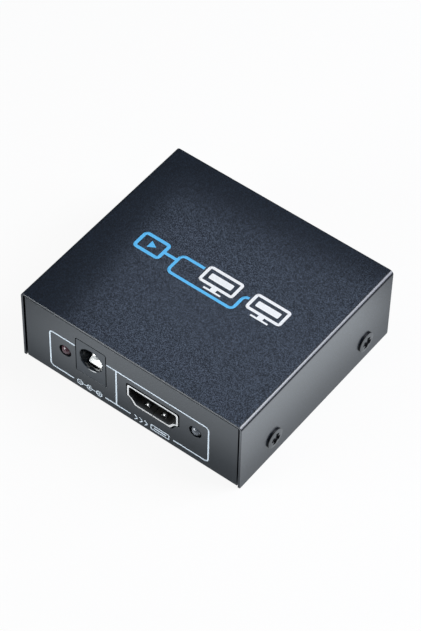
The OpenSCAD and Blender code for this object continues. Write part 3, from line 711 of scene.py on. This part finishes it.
# Cover: top and both side walls from one steel sheet, folded down and powder coated near-black with a
# fine sand texture that shows most on the top. Four screws hold it to the chassis.
cell = 0.15 * mm
cover_paint, shader, place = finish(
    "cover_paint", {"Specular IOR Level": 0.3, "Coat IOR": 1.7, "Coat Roughness": 0.2}
)
cells = place.add("ShaderNodeTexVoronoi", {}, {"Vector": place, "Scale": 1 / cell}, "Color")
crest = cells.add("ShaderNodeSeparateXYZ", {}, {0: cells}).ramp(0.5, 0.8)
hollow = facing(place, "Z").ramp(0.85, 1, 0.05) * (1 - crest)
feed(shader["Base Color"], crest.mix(tone("0b0e13"), tone("1c232d")))
feed(shader["Roughness"], 0.28 + 0.2 * hollow)
feed(shader["Coat Weight"], 1 - 0.9 * hollow)
feed(shader["Normal"], raised(grain(place, 0.35 * mm, detail=1), 0.1, 0.02 * mm))
eased("top_cover", 0.2 * mm, "painted_cover", cover_paint)

# Print on the cover: a source in light blue feeds a line that parts in two, and each branch leads to a
# white screen on its stand. Two passes of screen ink.
on_top = Matrix.Translation((0, 0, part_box("top_cover")[1].z))
source_x = -17.4 * mm
source_y = 0.8 * mm
source_wide = 8 * mm
source_tall = 5.8 * mm
source_corner = 1.2 * mm
source_line = 0.9 * mm
arrow_x = source_x - 0.1 * mm
arrow_r = 1.35 * mm
blue_sheet = bmesh.new()
source = plate(blue_sheet, source_x, source_y, source_wide, source_tall, source_corner)
hollowed(blue_sheet, source, source_line)
disc(blue_sheet, arrow_x, source_y, arrow_r, corners=3, turned=-90)

screen_xs = (2.5 * mm, 16.3 * mm)
screen_y = 1.9 * mm
screen_wide = 10.2 * mm
screen_tall = 5.4 * mm
screen_corner = 0.9 * mm
screen_line = 0.8 * mm
picture_wide = 6.6 * mm
picture_tall = 1.8 * mm
picture_corner = 0.3 * mm
neck_wide = 1.6 * mm
neck_tall = 0.8 * mm
neck_corner = 0.05 * mm
stand_wide = 5 * mm
stand_tall = 0.5 * mm
stand_corner = 0.1 * mm
neck_y = screen_y - screen_tall / 2 - neck_tall / 2
stand_y = neck_y - neck_tall / 2 - stand_tall / 2
white_sheet = bmesh.new()
for x in screen_xs:
    screen = plate(white_sheet, x, screen_y, screen_wide, screen_tall, screen_corner)
    hollowed(white_sheet, screen, screen_line)
    plate(white_sheet, x, screen_y, picture_wide, picture_tall, picture_corner)
    plate(white_sheet, x, neck_y, neck_wide, neck_tall, neck_corner)
    plate(white_sheet, x, stand_y, stand_wide, stand_tall, stand_corner)

cable = 0.8 * mm
cable_bend = 1.2 * mm
cable_gap = 0.5 * mm
fork_x = -9.8 * mm
upper_y = 2.8 * mm
lower_y = -3.2 * mm
between_x = sum(screen_xs) / 2
source_end = source_x + source_wide / 2
cable_ends = [x - screen_wide / 2 - cable_gap for x in screen_xs]
Pen(blue_sheet, source_end, source_y, 0, cable).go(fork_x - cable / 2 - source_end)
branches = Pen(blue_sheet, cable_ends[0], upper_y, 180, cable).go(cable_ends[0] - fork_x - cable_bend)
branches.bend(90, cable_bend).go(upper_y - lower_y - 2 * cable_bend).bend(90, cable_bend)
branches.go(between_x - fork_x - 2 * cable_bend).bend(90, cable_bend)
branches.go(screen_y - lower_y - 2 * cable_bend).bend(-90, cable_bend)
branches.go(cable_ends[1] - branches.at.x)
printed(blue_sheet, "cover_print_blue", ink("blue_ink", tone("5fbef5")), on_top)
printed(white_sheet, "cover_print_white", ink("white_ink", tone("f4f6f8")), on_top)

# Cover screws: black-plated steel pan heads with a cross recess, two in each side wall. They run through
# the wall into the tapped ears of the chassis.
black_plate, shader, place = finish("black_screw", {"Coat IOR": 1.7, "Coat Roughness": 0.25})
mottle(shader, grain(place, 0.5 * mm), ("0c0d0f", "131417"), (0.28, 0.43))
feed(shader["Coat Weight"], abs(facing(place, "X")).ramp(0.6, 0.95))
eased("cover_screws", 0.06 * mm, "black_screws", black_plate)
